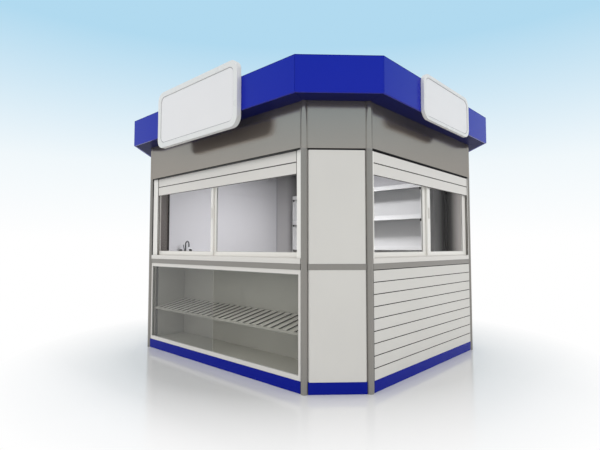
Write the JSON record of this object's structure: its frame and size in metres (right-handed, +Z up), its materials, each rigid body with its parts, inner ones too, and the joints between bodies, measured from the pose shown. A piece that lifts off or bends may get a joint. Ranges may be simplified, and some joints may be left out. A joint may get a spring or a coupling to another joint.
{
  "type": "sales kiosk",
  "caption": "Chamfered eight-sided sales kiosk with serving hatches, part-lowered roller shutters, a glazed showcase and a deep fascia with light-box signs.",
  "frame": {"origin": "middle of the plan at ground level", "axes": "+X along the front from left to right, +Y from the front to the rear, +Z up"},
  "size_m": [3.7136, 3.2996, 2.866],
  "materials": {
    "timber": "sawn",
    "floor": "satin",
    "blue_gloss": "gloss",
    "post_grey": "satin",
    "shadow_rail": "matte",
    "head_grey": "gloss",
    "panel_white": "satin",
    "frame_white": "satin",
    "clear_glass": "clear",
    "board_white": "satin",
    "rack_white": "satin",
    "door_grey": "satin",
    "steel": "brushed",
    "roof_sheet": "satin",
    "sign_white": "gloss"
  },
  "bodies": {
    "root": {"floor_joists": "timber", "floor_deck": "floor", "plinth_boards": "blue_gloss", "fascia_boards": "blue_gloss", "soffit_boards": "blue_gloss", "corner_posts": "post_grey", "belt_rails": "post_grey", "head_rails": "shadow_rail", "head_panels": "head_grey", "corner_panels_lower": "panel_white", "corner_panels_upper": "panel_white", "right_slat_panel": "panel_white", "rear_panels": "panel_white", "left_panels": "panel_white", "door_leaf": "panel_white", "front_sill": "frame_white", "front_shutter_guides": "frame_white", "front_shutter": "frame_white", "front_window_frame": "frame_white", "front_window_sashes": "frame_white", "right_sill": "frame_white", "right_shutter_guides": "frame_white", "right_shutter": "frame_white", "right_window_frame": "frame_white", "right_window_sashes": "frame_white", "showcase_frame": "frame_white", "front_window_glass": "clear_glass", "right_window_glass": "clear_glass", "showcase_glass": "clear_glass", "showcase_back": "board_white", "showcase_ends": "board_white", "showcase_floor": "board_white", "counter_top": "board_white", "ceiling_panel": "board_white", "wall_shelves": "board_white", "shelf_uprights": "board_white", "sink_counter": "board_white", "display_rack": "rack_white", "door_frame": "door_grey", "door_handles": "steel", "mixer_tap": "steel", "roof_deck": "roof_sheet", "front_sign": "sign_white", "right_sign": "sign_white"}
  },
  "joints": []
}
